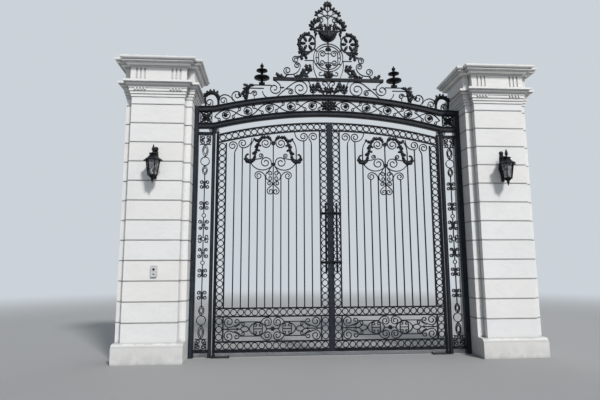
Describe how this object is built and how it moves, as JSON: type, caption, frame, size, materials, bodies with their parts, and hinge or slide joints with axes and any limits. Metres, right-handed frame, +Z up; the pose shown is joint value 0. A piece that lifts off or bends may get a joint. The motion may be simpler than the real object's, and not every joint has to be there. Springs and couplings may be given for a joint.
{
  "type": "wrought iron driveway gate with stone piers",
  "caption": "Pair of arched wrought iron driveway leaves with fixed side panels and a scrolled overthrow, set between rusticated stone piers with wall lanterns.",
  "frame": {"origin": "on the floor, at the centre of the whole part's bounding box", "axes": "+X along the gateway to the right seen from the street, +Y away from the street, +Z up"},
  "size_m": [6.79, 1.2498, 5.9472],
  "materials": {
    "iron": "satin black paint",
    "stone": "pale veined stone",
    "lantern_glass": "clear pane",
    "call_box": "brushed plate"
  },
  "bodies": {
    "frame": {"left_pier_plinth": "stone", "left_pier_shaft": "stone", "left_pier_frieze": "stone", "left_pier_cornice": "stone", "right_pier_plinth": "stone", "right_pier_shaft": "stone", "right_pier_frieze": "stone", "right_pier_cornice": "stone", "left_lantern": "iron", "left_lantern_glass": "lantern_glass", "right_lantern": "iron", "right_lantern_glass": "lantern_glass", "call_box": "call_box", "left_jamb": "iron", "right_jamb": "iron", "left_hanging_post": "iron", "right_hanging_post": "iron", "left_side_panel": "iron", "right_side_panel": "iron", "floor_plates": "iron", "overthrow_lower_rail": "iron", "overthrow_upper_rail": "iron", "left_frieze_scrolls": "iron", "right_frieze_scrolls": "iron", "frieze_rosette": "iron", "left_crest_scrolls": "iron", "right_crest_scrolls": "iron", "crest_bar": "iron", "crest_curls": "iron", "crest_medallion": "iron", "crest_side_rings": "iron", "crest_bowl": "iron", "crest_palmette": "iron", "crest_finials": "iron"},
    "left_leaf": {"left_leaf_heel": "iron", "left_leaf_meeting_side": "iron", "left_leaf_top_band": "iron", "left_leaf_mid_band": "iron", "left_leaf_bottom_band": "iron", "left_leaf_bars": "iron", "left_leaf_lyre": "iron", "left_leaf_panel_scrolls": "iron", "left_leaf_handle": "iron"},
    "right_leaf": {"right_leaf_heel": "iron", "right_leaf_meeting_side": "iron", "right_leaf_top_band": "iron", "right_leaf_mid_band": "iron", "right_leaf_bottom_band": "iron", "right_leaf_bars": "iron", "right_leaf_lyre": "iron", "right_leaf_panel_scrolls": "iron", "right_leaf_handle": "iron"}
  },
  "joints": [
    {"name": "left_leaf_swing", "type": "hinge", "parent": "frame", "child": "left_leaf", "pos_m": [-1.834, 0.064, 0.05], "axis": [0, 0, 1], "range_deg": [0, 90]},
    {"name": "right_leaf_swing", "type": "hinge", "parent": "frame", "child": "right_leaf", "pos_m": [1.834, 0.064, 0.05], "axis": [0, 0, -1], "range_deg": [0, 90]}
  ]
}
